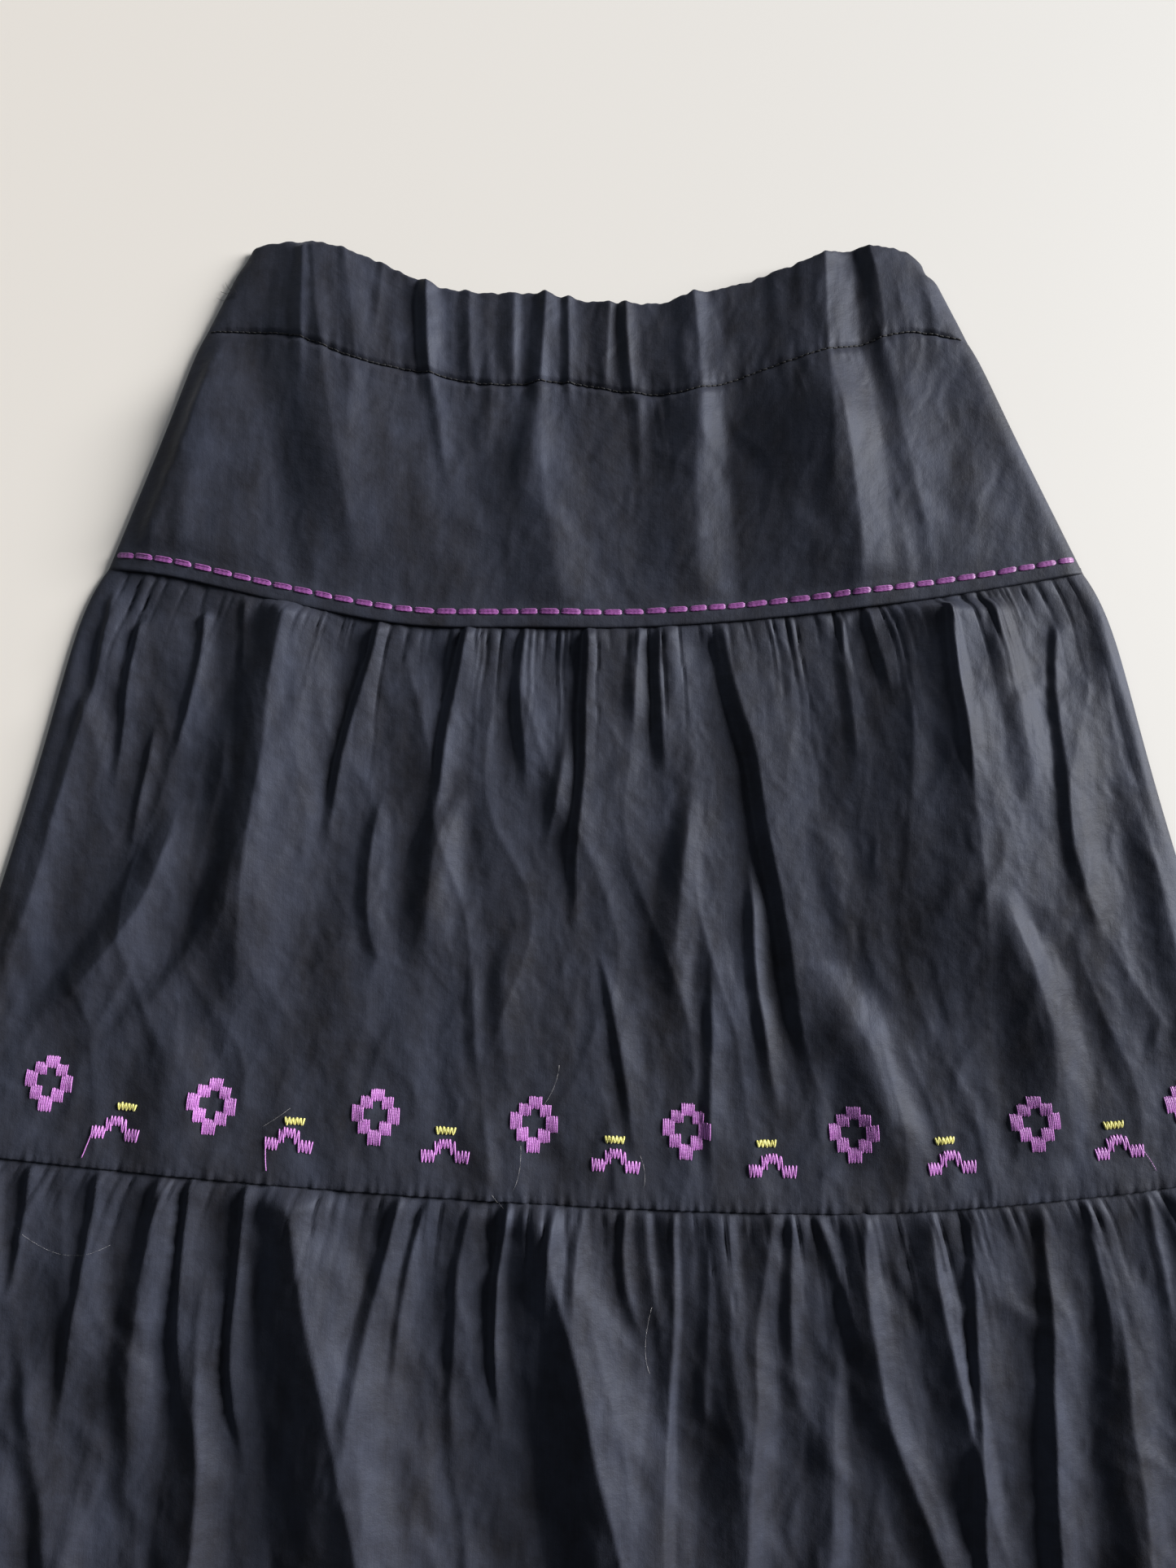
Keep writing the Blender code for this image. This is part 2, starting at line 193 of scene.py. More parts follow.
def cloth_material():
    """Navy polished cotton: a tight weave, faint slubs down the warp and a soft bluish sheen,
    partly real gloss and partly painted sheen in the base colour.
    """
    material = bpy.data.materials.new("navy_cloth")
    material.use_nodes = True
    tree = material.node_tree
    link = tree.links.new
    shader = tree.nodes["Principled BSDF"]
    cut = node(tree, "ShaderNodeUVMap", uv_map="cut")

    warp_way = node(tree, "ShaderNodeMapping", {"Scale": (1300, 34, 1)})
    link(cut.outputs["UV"], warp_way.inputs["Vector"])
    slubs = node(tree, "ShaderNodeTexNoise", {"Scale": 1, "Detail": 4, "Roughness": 0.7})
    link(warp_way.outputs["Vector"], slubs.inputs["Vector"])

    weave_way = node(tree, "ShaderNodeMapping", {"Scale": (2600, 1900, 1)})
    link(cut.outputs["UV"], weave_way.inputs["Vector"])
    weave = node(tree, "ShaderNodeTexNoise", {"Scale": 1, "Detail": 1, "Roughness": 0.5})
    link(weave_way.outputs["Vector"], weave.inputs["Vector"])

    cloudy = node(tree, "ShaderNodeTexNoise", {"Scale": 60, "Detail": 6, "Roughness": 0.75})
    link(cut.outputs["UV"], cloudy.inputs["Vector"])

    # Painted sheen: broad bands and cloudy patches lift the base colour from deep navy to a
    # lighter bluish navy, in place of the satin's gloss.
    band_way = node(tree, "ShaderNodeMapping", {"Scale": (34, 9, 1)})
    link(cut.outputs["UV"], band_way.inputs["Vector"])
    bands = node(tree, "ShaderNodeTexNoise", {"Scale": 1, "Detail": 3, "Roughness": 0.6})
    link(band_way.outputs["Vector"], bands.inputs["Vector"])
    painted_sheen_mix = node(tree, "ShaderNodeMix", {"Factor": 0.4}, data_type="FLOAT")
    link(bands.outputs["Fac"], painted_sheen_mix.inputs["A"])
    link(cloudy.outputs["Fac"], painted_sheen_mix.inputs["B"])
    spread = node(tree, "ShaderNodeMapRange", {"From Min": 0.36, "From Max": 0.64})
    link(painted_sheen_mix.outputs["Result"], spread.inputs["Value"])
    tone = node(tree, "ShaderNodeMix", data_type="RGBA")
    tone.inputs["A"].default_value = DEEP_NAVY
    tone.inputs["B"].default_value = PAINTED_SHEEN_NAVY
    link(spread.outputs["Result"], tone.inputs["Factor"])

    streaked = node(tree, "ShaderNodeMix", data_type="RGBA", blend_type="MULTIPLY")
    streaked.inputs["Factor"].default_value = 1
    streak_tone = node(tree, "ShaderNodeMapRange", {"From Min": 0.3, "From Max": 0.7})
    streak_tone.inputs["To Min"].default_value = 0.92
    streak_tone.inputs["To Max"].default_value = 1.08
    link(slubs.outputs["Fac"], streak_tone.inputs["Value"])
    link(tone.outputs["Result"], streaked.inputs["A"])
    link(streak_tone.outputs["Result"], streaked.inputs["B"])
    link(streaked.outputs["Result"], shader.inputs["Base Color"])

    polish = node(tree, "ShaderNodeMapRange", {"To Min": 0.5, "To Max": 0.64})
    link(cloudy.outputs["Fac"], polish.inputs["Value"])
    link(polish.outputs["Result"], shader.inputs["Roughness"])

    weave_bump = node(tree, "ShaderNodeBump", {"Strength": 0.55, "Distance": 0.00012})
    link(weave.outputs["Fac"], weave_bump.inputs["Height"])
    slub_bump = node(tree, "ShaderNodeBump", {"Strength": 0.4, "Distance": 0.00012})
    link(slubs.outputs["Fac"], slub_bump.inputs["Height"])
    link(weave_bump.outputs["Normal"], slub_bump.inputs["Normal"])

    crinkle = node(tree, "ShaderNodeTexNoise", {"Scale": 230, "Detail": 3, "Roughness": 0.55})
    link(cut.outputs["UV"], crinkle.inputs["Vector"])
    crinkle_bump = node(tree, "ShaderNodeBump", {"Strength": 0.5, "Distance": 0.0006})
    link(crinkle.outputs["Fac"], crinkle_bump.inputs["Height"])
    link(slub_bump.outputs["Normal"], crinkle_bump.inputs["Normal"])
    link(crinkle_bump.outputs["Normal"], shader.inputs["Normal"])

    shader.inputs["Specular IOR Level"].default_value = 0.17
    shader.inputs["Specular Tint"].default_value = COOL_GLOSS
    shader.inputs["Sheen Weight"].default_value = 0.05
    shader.inputs["Sheen Roughness"].default_value = 0.35
    shader.inputs["Sheen Tint"].default_value = COOL_GLOSS
    return material


navy_cloth = cloth_material()


def dress(made, nodes, material):
    """Give a piece its material, and let it stand for the solids that it covers."""
    made.data.materials.append(material)
    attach(made, "root")
    if nodes:
        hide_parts(*nodes)


BACK_WALL = 0.5
BACK_LIFT = 0.1
BACK_FOLD = 0.45
Corner = namedtuple("Corner", "side start run dip")
WAIST_CORNERS = (Corner(1, 146, 14, 6), Corner(-1, 157, 8, 2.5))


def waist_dip(x):
    """How far the waist edge is rounded off at its two corners."""
    return sum(c.dip * np.clip((c.side * x - c.start) / c.run, 0, 1) ** 2 for c in WAIST_CORNERS)


def back_sheet(name, panel, columns, rows, gathers, hem_drop=0, dip=None):
    """A back panel: nearly flat, its gathers and creases pressed under the front.

    hem_drop is how far its foot is drawn down, and dip(x) is how far its top edge is.
    """
    u = np.linspace(-1, 1, columns)[None, :] + np.zeros((rows, 1))
    v = np.linspace(0, 1, rows)[:, None] + np.zeros((1, columns))
    x, y = panel_points(panel, u, v)
    below = seam_points(panel.top, u)[1] - y
    folded = 0.5 + ripples(Ripple(0.5, 16, 60, gathers.seed + 1), x, y)
    gathered = gather_wave(gathers, (u + 1) / 2, below) * 0.5 + 0.5
    pressed = mix(folded, gathered, np.exp(-below / 40))
    inset = np.minimum(u + 1, 1 - u) * columns / 4
    z = BACK_LIFT + BACK_FOLD * np.clip(pressed, 0, 1) * smooth(inset)
    y = y - hem_drop * smooth((v - 0.6) / 0.4)
    if dip:
        y = y - dip(x) * smooth(1 - v / 0.35)
    made = cloth_object(f"{name}_cloth", x, y, z, x, below)
    wall = made.modifiers.new("wall", "SOLIDIFY")
    wall.thickness = BACK_WALL * MM
    wall.offset = 1
    dress(made, [name], navy_cloth)
    return made


casing_back = back_sheet(
    "casing_back", CASING, columns=110, rows=14,
    gathers=Gathers(20, 0.8, 40, 60, 31), dip=waist_dip,
)
yoke_back = back_sheet(
    "yoke_back", YOKE, columns=110, rows=26, gathers=Gathers(20, 0.8, 20, 60, 32)
)
middle_back = back_sheet(
    "middle_tier_back", MIDDLE_TIER, columns=170, rows=44, gathers=Gathers(40, 1, 12, 60, 33)
)
bottom_back = back_sheet(
    "bottom_tier_back", BOTTOM_TIER, columns=200, rows=50,
    gathers=Gathers(48, 1, 12, 80, 34), hem_drop=3,
)

# Front of the casing
# The top of the yoke turned over and stitched down as a channel for wide elastic, which draws the
# cloth into soft ribs in the middle of the front and leaves it smoother at the sides.

Crease = namedtuple("Crease", "top_x top_y middle_x foot_x foot_y left right height peak start")
WAIST_CREASES = (
    Crease(-134, 378, -122, -102, 196, 32, 60, 7.0, 0.75, 0.6),
    Crease(-172, 330, -194, -213, 184, 14, 78, 5.2, 0.2, 0.1),
    Crease(-138, 374, -137, -136, 292, 8, 5, 1.4, 0.85, 1),
    Crease(-120, 378, -113, -110, 288, 6, 12, 1.6, 0.6, 1),
    Crease(-100, 372, -101, -104, 318, 4, 7, 1.0, 0.85, 1),
    Crease(-79, 368, -78, -75, 288, 6, 10, 5.1, 0.85, 1),
    Crease(-59, 364, -58, -58, 288, 7, 7, 1.7, 0.85, 1),
    Crease(-37, 364, -37, -37, 288, 9, 5, 1.7, 0.85, 1),
    Crease(-22, 364, -23, -26, 288, 7, 9, 3.1, 0.85, 1),
    Crease(-12, 360, -11, -11, 284, 4, 5, 1.7, 0.85, 1),
    Crease(9, 355, 7, 5, 282, 9, 5, 1.7, 0.85, 1),
    Crease(16, 355, 17, 21, 282, 5, 7, 2.9, 0.85, 1),
    Crease(47, 355, 51, 51, 244, 24, 15, 4.0, 0.6, 1),
    Crease(110, 372, 110, 110, 236, 50, 28, 8.0, 0.7, 1),
    Crease(130, 378, 137, 136, 296, 11, 44, 4.2, 0.6, 1),
    Crease(159, 368, 161, 162, 302, 5, 18, 0.8, 0.85, 1),
    Crease(-179, 343, -184, -190, 219, 11, 22, 1.2, 0.1, 0),
    Crease(-138, 326, -124, -122, 203, 22, 26, 1.6, 0.1, 0),
    Crease(-111, 318, -113, -113, 258, 7, 15, 1.2, 0.85, 0),
    Crease(-46, 314, -48, -49, 258, 9, 7, 1.2, 0.85, 0),
    Crease(-22, 318, -27, -33, 238, 11, 11, 2.3, 0.4, 0),
    Crease(-26, 296, -20, -6, 166, 30, 24, 4.6, 0.5, 0),
    Crease(52, 316, 48, 53, 176, 30, 18, 4.2, 0.5, 0),
    Crease(108, 322, 120, 123, 170, 56, 42, 11.0, 0.8, 0),
    Crease(137, 331, 148, 163, 188, 12, 34, 3.4, 0.6, 0),
    Crease(178, 282, 176, 171, 199, 13, 18, 1.2, 0.2, 0),
    Crease(141, 258, 143, 147, 195, 7, 7, 1.0, 0.85, 0),
    Crease(-75, 306, -71, -66, 246, 5, 8, 1.4, 0.85, 0),
    Crease(22, 306, 22, 23, 246, 5, 6, 1.2, 0.85, 0),
)
TURN = 9.0
TURN_INSETS = (0, 0.3, 0.9, 1.8, 3.1, 4.8, 6.8)
LEFT_SHOULDER = 0.4
SIDE_Z = 0.55
RESTING_Z = 2.0
SETTLING = 0.5


def crease_height(creases, x, y):
    """Height added by creases. Each runs along a curve through its top, middle and foot.

    left and right are its widths to either side, peak is how sharp it is, from 0 to 1, and
    start is the share of its height that it has at its top.
    """
    total = np.zeros_like(x)
    for c in creases:
        t = (c.top_y - y) / (c.top_y - c.foot_y)
        crest = (
            c.top_x * (1 - t) * (1 - 2 * t)
            + c.middle_x * 4 * t * (1 - t)
            + c.foot_x * t * (2 * t - 1)
        )
        away = x - crest
        side = np.where(away < 0, c.left, c.right) * mix(0.6, 1, smooth(t / 0.4))
        run = np.clip(np.abs(away) / side, 0, 1)
        rounded = (1 + np.cos(np.pi * run)) / 2
        peaked = (1 - run) ** np.where(away < 0, 1.15, 1.7)
        along = mix(c.start, 1, smooth(t / 0.3)) * smooth((1 - t) / 0.4) * smooth(t / 0.04)
        total += c.height * along * mix(rounded, peaked, c.peak)
    return total


Crumples = namedtuple("Crumples", "height across along lean seed")


def crumple(kind, x, y):
    """Uneven wrinkles of the height, width, length and lean that their kind gives."""
    across, along = kind.across, kind.along
    skewed = x + kind.lean * y + across * noise(x / (3 * across), y / along, kind.seed + 1)
    soft = noise(skewed / across, y / along, kind.seed)
    sharp = np.abs(noise(skewed / (1.6 * across), y / (1.3 * along), kind.seed + 2))
    return kind.height * (0.6 * soft + 0.25 - 0.8 * sharp + 0.08 * np.exp(-sharp / 0.12))


EDGE_STEPS = ((1, 180), (0.5, 180), (0, 180), (0, 135), (0, 90), (0, 45))
EDGE_Z = 0.3
SIDE_ROWS = 6
HIDDEN_SLANT = 1.2


def roll_edge(grid, radius, return_width, at_top):
    """Turn an edge of a grid of points under in a half circle, with a strip behind it.

    Behind a lower edge the strip leans in with the panel's slanting sides, and a little more,
    so that it stays hidden.
    """
    x, y, z, across, down = (g if at_top else g[::-1] for g in grid)
    way = 1 if at_top else -1
    slant = (x[SIDE_ROWS] - x[0]) / np.abs(y[SIDE_ROWS] - y[0])
    inward = 0 if at_top else HIDDEN_SLANT * slant
    rows = [[], [], [], [], []]
    for share, angle in EDGE_STEPS:
        back = share * return_width
        turn = math.radians(angle)
        rows[0].append(x[0] + inward * back)
        rows[1].append(y[0] + way * (radius * math.sin(turn) - back))
        rows[2].append(np.maximum(z[0] - radius + radius * math.cos(turn), EDGE_Z))
        rows[3].append(across[0])
        rows[4].append(down[0] - way * (radius * turn + back))
    joined = [np.vstack([np.array(extra), g]) for extra, g in zip(rows, (x, y, z, across, down))]
    return joined if at_top else [g[::-1] for g in joined]


def front_sheet(
    name, panel, columns, rows, relief, tuck=0.0, roll_top=None, roll_foot=None, scallops=None
):
    """A front panel over the back: crowned, turned down at both sides, with its own relief.

    tuck is how far it runs up under the piece above. relief(x, y, share, below) is a height,
    roll_top and roll_foot are a turned edge's radius and the width of the strip behind it, and
    scallops(x) is how far the top edge is drawn down.
    """
    length = panel.top.low_y - panel.bottom.low_y
    v = np.linspace(-tuck / length, 1, rows)[:, None]
    left, right = (panel_points(panel, side * np.ones_like(v), v)[0] for side in (-1, 1))
    width = right - left
    turned = np.array(TURN_INSETS)[None, :] + 0 * v
    inner = TURN + np.linspace(0, 1, columns)[None, :] * (width - 2 * TURN)
    from_left = np.hstack([turned, inner, width - turned[:, ::-1]])
    u = -1 + 2 * from_left / width
    v = v + np.zeros_like(u)
    x, y = panel_points(panel, u, v)
    below = seam_points(panel.top, u)[1] - y
    inset = np.minimum(from_left, width - from_left)
    turn = np.sqrt(1 - (1 - np.clip(inset / TURN, 0, 1)) ** 2)
    crown = mix(panel.top_z, panel.middle_z, smooth(v / 0.3))
    crown = mix(crown, panel.bottom_z, smooth((v - 0.75) / 0.25))
    z = SIDE_Z + (crown - SIDE_Z) * turn * (1 - LEFT_SHOULDER * np.clip(-u, 0, 1) ** 8)
    share = (u + 1) / 2
    free = smooth((inset - 1.5) / 12)
    raised = z + free * relief(x, y, share, below)
    rested = RESTING_Z + SETTLING * np.logaddexp(0, (raised - RESTING_Z) / SETTLING)
    z = np.where(inset < TURN, np.maximum(raised, SIDE_Z), rested)
    z = np.where(inset < TURN, np.minimum(z, mix(z, rested, turn)), z)
    if scallops:
        y = y - scallops(x) * smooth(1 - v / 0.35)
    grid = [x, y, z, x, below]
    if roll_top:
        grid = roll_edge(grid, *roll_top, at_top=True)
    if roll_foot:
        grid = roll_edge(grid, *roll_foot, at_top=False)
    made = cloth_object(f"{name}_cloth", *grid)
    dress(made, [name], navy_cloth)
    return made


RIBS = Ripple(0.6, 7, 30, 41)
WAIST_CRUMPLES = (Crumples(0.75, 15, 34, 0.15, 42), Crumples(0.32, 6, 13, -0.3, 45))
GROOVE_DEPTH = 1.4
GROOVE_WIDTH = 1.4
PUCKERS = Ripple(0.5, 3.2, 20, 47)
PUCKER_REACH = 7


def waist_relief(x, y, share, below):
    """The casing's ribs and the yoke's waves, which run on through the casing's stitching."""
    middle = 1 - np.abs(2 * share - 1) ** 3
    relief = crease_height(WAIST_CREASES, x, y)
    relief += ripples(RIBS, x, y) * middle * smooth((22 - below) / 30)
    for kind in WAIST_CRUMPLES:
        relief += crumple(kind, x, y)
    groove = GROOVE_DEPTH * np.exp(-((below / GROOVE_WIDTH) ** 2))
    puckers = ripples(PUCKERS, x, y) * np.exp(-((below / PUCKER_REACH) ** 2))
    return relief + puckers - groove


def casing_relief(x, y, share, below):
    return waist_relief(x, y, share, seam_points(CASING_STITCH, 2 * share - 1)[1] - y)


SCALLOPS = (Ripple(0.9, 6.5, 1, 48), Ripple(0.5, 3.1, 1, 49))
SCALLOP_DRAW = 0.5


def waist_scallops(x):
    ribs = sum(ripples(kind, x, 0 * x) for kind in SCALLOPS)
    return SCALLOP_DRAW + ribs + waist_dip(x)


casing_front = front_sheet(
    "casing_front", CASING, columns=420, rows=46, relief=casing_relief,
    roll_top=(1.1, 14), scallops=waist_scallops,
)

# Front of the yoke
# The fitted panel under the casing, smooth but for long soft waves that the elastic starts. Its
# lower edge is turned under over the gathers and stands a little proud.

CASING_PUCKERS = Gathers(46, 0.9, 5, 26, 51)
WELT = 8.5
WELT_HEIGHT = 0.55
RUNNING_STITCH_RISE = 6.4
RUNNING_STITCH_SINK = 0.4


def yoke_relief(x, y, share, below):
    above_seam = y - seam_points(YOKE_SEAM, 2 * share - 1)[1]
    calm = smooth(above_seam / 18)
    middle = 1 - np.abs(2 * share - 1) ** 2
    relief = waist_relief(x, y, share, below) * mix(0.35, 1, calm)
    relief += gather_wave(CASING_PUCKERS, share, below) * middle * smooth(below / 6)
    welt = WELT_HEIGHT * smooth((WELT + 0.8 - above_seam) / 1.6)
    stitched = RUNNING_STITCH_SINK * np.exp(-(((above_seam - RUNNING_STITCH_RISE) / 1.3) ** 2))
    return relief + welt - stitched


yoke_front = front_sheet(
    "yoke_front", YOKE, columns=330, rows=96, relief=yoke_relief, roll_foot=(0.9, 4)
)

# Front of the middle tier
# A straight strip gathered into the yoke. Its gathers run out into long folds, some lying over,
# and the cloth between them is softly crumpled from wear.

MIDDLE_CREASES = (
    Crease(-207, 188, -213, -216, 102, 3.6, 11, 2.8, 0.85, 0.9),
    Crease(-179, 192, -182, -192, 113, 4.2, 13, 3.3, 0.85, 0.9),
    Crease(-198, 139, -203, -206, 80, 3.6, 7, 2.4, 0.85, 0.1),
    Crease(-159, 199, -159, -159, 161, 4.2, 9, 2, 0.85, 1),
    Crease(-139, 203, -151, -159, -8, 26, 38, 11, 0.6, 0.8),
    Crease(-97, 192, -110, -120, 76, 4.2, 22, 4.2, 0.85, 1),
    Crease(-56, 192, -65, -72, 83, 4.8, 20, 4.7, 0.85, 1),
    Crease(-94, 109, -101, -93, 23, 5.4, 10, 2.8, 0.85, 0.1),
    Crease(-61, 107, -72, -72, 26, 15, 18, 5.9, 0.3, 0.2),
    Crease(-51, 33, -51, -49, -29, 5.4, 10, 1.9, 0.85, 0.1),
    Crease(-29, 192, -33, -30, 102, 4.2, 15, 2.8, 0.85, 1),
    Crease(-2, 192, -5, -9, 37, 4.2, 30, 4.4, 0.85, 1),
    Crease(22, 188, 20, 19, 131, 5.4, 7, 2.4, 0.85, 1),
    Crease(32, 192, 31, 35, 103, 4.8, 23, 3.7, 0.85, 1),
    Crease(44, 116, 38, 32, -2, 10, 10, 4.4, 0.4, 0.1),
    Crease(51, 37, 50, 50, -76, 4.2, 11, 2.4, 0.85, 0.1),
    Crease(53, 184, 76, 92, -36, 24, 6, -3.0, 0.9, 0.9),
    Crease(58, 192, 83, 101, -60, 5, 40, 3.0, 0.9, 0.6),
    Crease(161, 199, 169, 174, -15, 66, 90, 12.5, 0.8, 0.8),
    Crease(160, 197, 165, 170, 98, 3, 8, 2.4, 0.85, 1),
    Crease(117, 192, 117, 122, 109, 5.4, 10, 1.7, 0.85, 1),
    Crease(125, 203, 131, 136, 146, 4.2, 8, 2, 0.85, 1),
    Crease(183, 199, 190, 201, 87, 9, 15, 2.6, 0.3, 0.9),
    Crease(213, 188, 211, 227, 23, 4.8, 18, 2.5, 0.85, 0.8),
    Crease(230, 207, 244, 258, 69, 3, 7, 2.8, 0.85, 0.8),
    Crease(178, 65, 198, 196, -56, 23, 18, 6.5, 0.4, 0.1),
    Crease(1, 40, 14, 19, -56, 4.2, 12, 2.6, 0.85, 0.1),
    Crease(70, 80, 74, 82, -39, 5.4, 9, 3.4, 0.85, 0.1),
    Crease(102, 33, 124, 136, -73, 26, 23, 5.9, 0.3, 0.2),
    Crease(-182, 12, -183, -181, -70, 22, 22, 3.1, 0.1, 0.1),
    Crease(-185, 105, -203, -247, -2, 17, 30, 8.8, 0.6, 0.2),
    Crease(-155, 83, -178, -214, -8, 11, 18, 2.4, 0.3, 0.2),
    Crease(-33, 55, -38, -36, -36, 9, 15, 2.4, 0.3, 0.1),
    Crease(-14, 139, -17, -22, 73, 4.2, 12, 1.9, 0.85, 0.1),
    Crease(99, 102, 109, 113, 33, 12, 15, 1.8, 0.2, 0.1),
    Crease(-246, 161, -254, -259, 73, 5.4, 15, 2.2, 0.85, 0.3),
    Crease(-219, 205, -241, -270, -10, 8, 17, 3.6, 0.6, 0.9),
    Crease(-250, 100, -268, -281, -44, 11, 14, 2.6, 0.4, 0.1),
    Crease(240, 120, 258, 276, -48, 14, 15, 3.2, 0.4, 0.1),
)
MIDDLE_WANDER = Ripple(2.5, 35, 50, 64)
MIDDLE_GATHERS = Gathers(78, 3.2, 6, 40, 61)
MIDDLE_LONG_CRUMPLES = Crumples(2.2, 20, 85, 0.12, 62)
MIDDLE_SHORT_CRUMPLES = Crumples(0.85, 11, 30, -0.25, 65)
MIDDLE_FINE_CRUMPLES = Crumples(0.3, 5, 11, 0.4, 68)
Patch = namedtuple("Patch", "x y across along share")
SMOOTH_PATCH = Patch(108, 95, 48, 85, 0.55)
SEAM_PULLS = Ripple(0.9, 2.6, 14, 69)
MIDDLE_SINK = 1.6


def middle_relief(x, y, share, below):
    above_seam = y - seam_points(TIER_SEAM, 2 * share - 1)[1]
    calm = smooth(above_seam / 10)
    body = mix(0.5, 1, smooth(below / 40))
    p = SMOOTH_PATCH
    near = np.exp(-(((x - p.x) / p.across) ** 2) - ((y - p.y) / p.along) ** 2)
    body = body * (1 - p.share * near)
    relief = crease_height(MIDDLE_CREASES, x + ripples(MIDDLE_WANDER, x, y), y)
    relief += gather_wave(MIDDLE_GATHERS, share, below)
    relief *= smooth((below + 2) / 8)
    relief += crumple(MIDDLE_LONG_CRUMPLES, x, y) * body * mix(0.4, 1, calm)
    relief += crumple(MIDDLE_SHORT_CRUMPLES, x, y) * body * mix(0.5, 1, calm)
    relief += crumple(MIDDLE_FINE_CRUMPLES, x, y) * mix(0.6, 1, calm)
    pulled = ripples(SEAM_PULLS, x, y) * np.exp(-np.maximum(above_seam, 0) / 3)
    sunk = MIDDLE_SINK * smooth(below / 20) * smooth(above_seam / 20)
    return relief + pulled - sunk


TUCK = 2.5
middle_front = front_sheet(
    "middle_tier_front", MIDDLE_TIER, columns=560, rows=155, relief=middle_relief,
    tuck=TUCK, roll_foot=(0.8, 4),
)

# Front of the bottom tier
# A longer strip, gathered into the middle tier and falling in deep folds to a narrow hem. The
# photograph stops half way down it, and the folds go on as such folds do.

BOTTOM_CREASES = (
    Crease(-211, -49, -219, -226, -173, 4.2, 18, 3.4, 0.85, 1),
    Crease(-241, -53, -245, -248, -112, 3, 15, 2.5, 0.85, 1),
    Crease(-182, -51, -193, -195, -198, 10, 16, 5, 0.5, 0.9),
    Crease(-171, -51, -175, -169, -164, 2.5, 16, 3.8, 0.85, 1),
    Crease(-165, -93, -166, -174, -455, 18, 16, 8, 0.9, 0.2),
    Crease(-147, -54, -151, -145, -186, 3, 11, 4.2, 0.85, 1),
    Crease(-132, -56, -84, -40, -455, 37, 50, 17, 0.9, 0.6),
    Crease(-80, -61, -96, -103, -183, 4.8, 22, 3.8, 0.85, 1),
    Crease(-69, -66, -82, -86, -154, 3, 11, 2.2, 0.85, 1),
    Crease(-53, -70, -59, -53, -189, 4.2, 18, 2.2, 0.85, 1),
    Crease(-37, -66, -41, -37, -167, 2.5, 6, 4.1, 0.85, 1),
    Crease(-27, -66, 22, 50, -455, 31, 44, 15.5, 0.9, 0.5),
    Crease(-18, -70, -20, -21, -122, 4.2, 5, 2.5, 0.85, 0.9),
    Crease(-5, -66, -8, -9, -128, 4.2, 7, 2.2, 0.85, 0.9),
    Crease(17, -66, 14, 26, -136, 4.2, 7, 2.6, 0.85, 1),
    Crease(24, -64, 25, 30, -140, 9, 6, 2.4, 0.7, 0.6),
    Crease(37, -63, 27, 20, -455, 12, 5, 3.2, 0.8, 0.9),
    Crease(50, -63, 49, 46, -189, 4.8, 9, 1.6, 0.85, 1),
    Crease(57, -63, 60, 66, -200, 12, 7, 2.4, 0.5, 0.8),
    Crease(76, -63, 57, 30, -455, 22, 14, 6.4, 0.8, 0.4),
    Crease(84, -63, 84, 86, -155, 4.2, 9, 2.6, 0.85, 1),
    Crease(92, -66, 106, 114, -142, 5, 8, 2.2, 0.6, 0.8),
    Crease(118.5, -60, 126, 172, -262, 15, 14, 6.2, 0.85, 0.5),
    Crease(104, -110, 97, 92, -340, 14, 10, 3.4, 0.4, 0.1),
    Crease(141.5, -60, 154, 178, -235, 13, 10, 5.2, 0.85, 0.4),
    Crease(162, -56, 162, 166, -455, 4, 18, 3.9, 0.9, 0.35),
    Crease(193.5, -56, 193, 197, -455, 7, 18, 5.4, 0.9, 0.35),
    Crease(212, -66, 217, 215, -154, 4.2, 6, 1.5, 0.85, 1),
    Crease(219, -62, 230, 240, -455, 18, 22, 6.2, 0.8, 0.15),
    Crease(237, -59, 243, 245, -129, 3.6, 8, 1.5, 0.85, 1),
    Crease(-64, -141, -40, -22, -455, 5.4, 15, 2, 0.85, 0.1),
    Crease(-247, -109, -211, -185, -455, 10, 22, 5, 0.4, 0.2),
    Crease(-262, -48, -284, -334, -455, 14, 18, 5, 0.4, 0.8),
    Crease(-281, -47, -312, -362, -440, 9, 20, 4, 0.6, 0.9),
    Crease(-240, -140, -262, -292, -455, 12, 20, 4.5, 0.3, 0.1),
    Crease(-214, -170, -226, -246, -455, 9, 16, 4, 0.5, 0.1),
    Crease(254, -57, 270, 306, -455, 16, 18, 3, 0.4, 0.8),
    Crease(276, -57, 306, 354, -440, 10, 17, 2.7, 0.6, 0.9),
    Crease(214, -150, 238, 262, -455, 12, 14, 2.7, 0.4, 0.1),
)
BOTTOM_WANDER = Ripple(2.5, 35, 50, 74)
BOTTOM_GATHERS = Gathers(96, 2.8, 5, 40, 71)
BOTTOM_LONG_CRUMPLES = Crumples(2.1, 20, 80, 0.05, 72)
BOTTOM_SHORT_CRUMPLES = Crumples(1.1, 12, 28, 0.35, 75)
BOTTOM_FINE_CRUMPLES = Crumples(0.4, 5, 10, -0.4, 78)
SEAM_SINK = 1.7
BOTTOM_SINK = 1.8


def bottom_relief(x, y, share, below):
    body = mix(0.5, 1, smooth(below / 40))
    relief = crease_height(BOTTOM_CREASES, x + ripples(BOTTOM_WANDER, x, y), y)
    relief += gather_wave(BOTTOM_GATHERS, share, below)
    relief *= smooth((below + 2) / 9)
    relief += crumple(BOTTOM_LONG_CRUMPLES, x, y) * body
    relief += crumple(BOTTOM_SHORT_CRUMPLES, x, y) * body
    relief += crumple(BOTTOM_FINE_CRUMPLES, x, y)
    return relief - SEAM_SINK * smooth((TUCK - below) / 5) - BOTTOM_SINK * smooth(below / 20)


